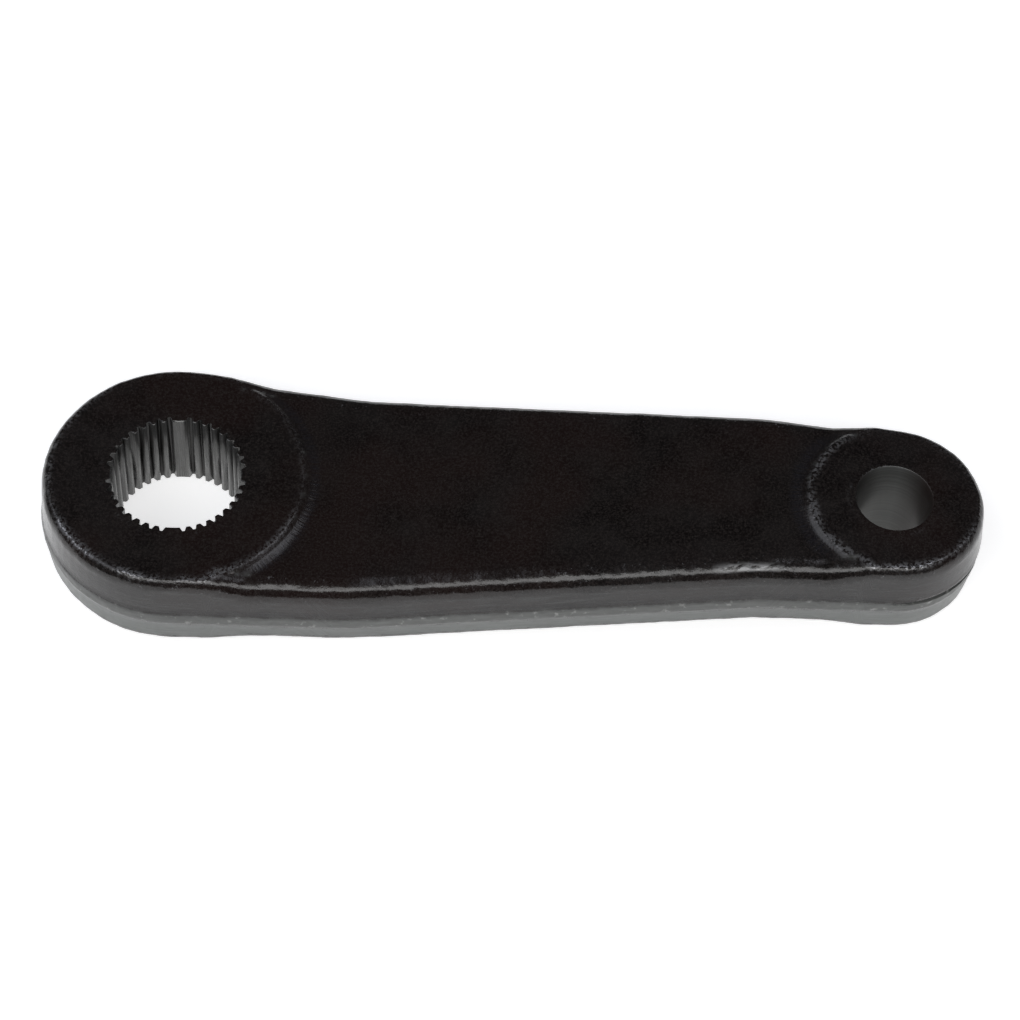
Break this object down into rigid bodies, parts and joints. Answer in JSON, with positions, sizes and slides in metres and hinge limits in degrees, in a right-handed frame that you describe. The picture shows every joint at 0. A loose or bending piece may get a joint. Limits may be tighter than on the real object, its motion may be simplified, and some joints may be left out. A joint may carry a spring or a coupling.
{
  "type": "pitman arm",
  "caption": "Forged steel steering drop arm: a large splined boss and a small tapered boss, joined by a flat tapering web that steps up between two parallel planes.",
  "frame": {"origin": "middle of the splined bore, halfway between the large boss's two machined faces", "axes": "+X along the arm to the tapered bore, +Z along the bore axes toward the faces seen in the picture"},
  "size_m": [0.215, 0.0626, 0.0361],
  "materials": {
    "black_coated_forging": "thin black coating over forged steel, with bare machined steel in both bores"
  },
  "bodies": {
    "root": {"pitman_arm": "black_coated_forging"}
  },
  "joints": []
}
